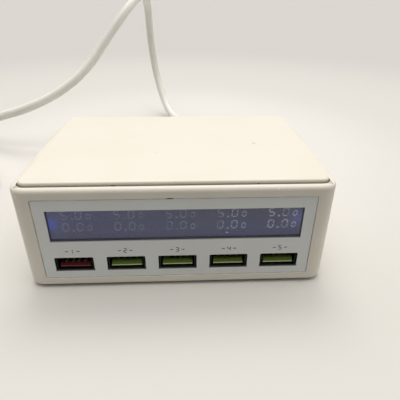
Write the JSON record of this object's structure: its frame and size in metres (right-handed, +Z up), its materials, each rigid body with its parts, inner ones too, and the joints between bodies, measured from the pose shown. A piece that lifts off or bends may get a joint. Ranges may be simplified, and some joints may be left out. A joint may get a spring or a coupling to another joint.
{
  "type": "desktop usb charger",
  "caption": "Low rectangular desktop charger with a front row of USB sockets under a wide read-out window, flush top cover, rubber feet and a detachable mains lead.",
  "frame": {"origin": "centre of the charger footprint on the table, without the lead", "axes": "+X to the right seen from the front, +Y from the front panel to the rear, +Z up"},
  "size_m": [0.2475, 0.2541, 0.0992],
  "materials": {
    "ivory_plastic": "fine satin moulded surface",
    "panel_plastic": "satin, slightly cooler than the case",
    "window_clear": "polished clear acrylic",
    "lcd_glass": "dark blue-grey display glass",
    "backlight_guide": "bluish light guide",
    "foot_rubber": "soft matt rubber",
    "screw_steel": "zinc plated",
    "board_laminate": "solder-masked laminate",
    "shell_steel": "nickel plated folded shell",
    "tongue_maroon": "moulded insulator",
    "tongue_green": "moulded insulator",
    "contact_gold": "gold plated",
    "inlet_black": "moulded, fine grain",
    "pin_brass": "nickel plated pin",
    "ferrite": "dull sintered ferrite",
    "winding_tape": "taped winding",
    "copper_wire": "enamelled wire",
    "capacitor_sleeve": "shrink sleeve on an aluminium can",
    "film_yellow": "moulded film capacitor",
    "fuse_brown": "moulded fuse",
    "sink_aluminium": "mill finish",
    "chip_black": "moulded package",
    "ribbon_white": "ribbon cable and plugs",
    "cord_white": "smooth white cord jacket",
    "tie_grey": "woven hook-and-loop strap",
    "blade_metal": "nickel plated blade"
  },
  "bodies": {
    "root": {"ac_inlet": "inlet_black", "board_screws": "screw_steel", "bridge_rectifier": "chip_black", "bulk_capacitor_1": "capacitor_sleeve", "bulk_capacitor_2": "capacitor_sleeve", "case_body": "ivory_plastic", "case_screws": "screw_steel", "coil_tie": "tie_grey", "cord_coil": "cord_white", "cord_connector": "cord_white", "display_board": "board_laminate", "display_cable": "ribbon_white", "display_window": "window_clear", "film_capacitor": "film_yellow", "filter_core": "ferrite", "filter_winding": "copper_wire", "front_panel": "panel_plastic", "fuse": "fuse_brown", "inlet_pins": "pin_brass", "lcd_backlight": "backlight_guide", "lcd_panel": "lcd_glass", "main_board": "board_laminate", "mains_plug": "cord_white", "output_capacitor_1": "capacitor_sleeve", "output_capacitor_2": "capacitor_sleeve", "output_capacitor_3": "capacitor_sleeve", "output_heat_sink": "sink_aluminium", "output_rectifier": "chip_black", "plug_blades": "blade_metal", "port_chips": "chip_black", "port_coil_1": "chip_black", "port_coil_2": "chip_black", "power_cord": "cord_white", "power_switch": "chip_black", "primary_heat_sink": "sink_aluminium", "rubber_foot_1": "foot_rubber", "rubber_foot_2": "foot_rubber", "rubber_foot_3": "foot_rubber", "rubber_foot_4": "foot_rubber", "top_cover": "ivory_plastic", "transformer_core": "ferrite", "transformer_winding": "winding_tape", "usb_contacts_1": "contact_gold", "usb_contacts_2": "contact_gold", "usb_contacts_3": "contact_gold", "usb_contacts_4": "contact_gold", "usb_contacts_5": "contact_gold", "usb_shell_1": "shell_steel", "usb_shell_2": "shell_steel", "usb_shell_3": "shell_steel", "usb_shell_4": "shell_steel", "usb_shell_5": "shell_steel", "usb_tongue_1": "tongue_maroon", "usb_tongue_2": "tongue_green", "usb_tongue_3": "tongue_green", "usb_tongue_4": "tongue_green", "usb_tongue_5": "tongue_green"}
  },
  "joints": []
}
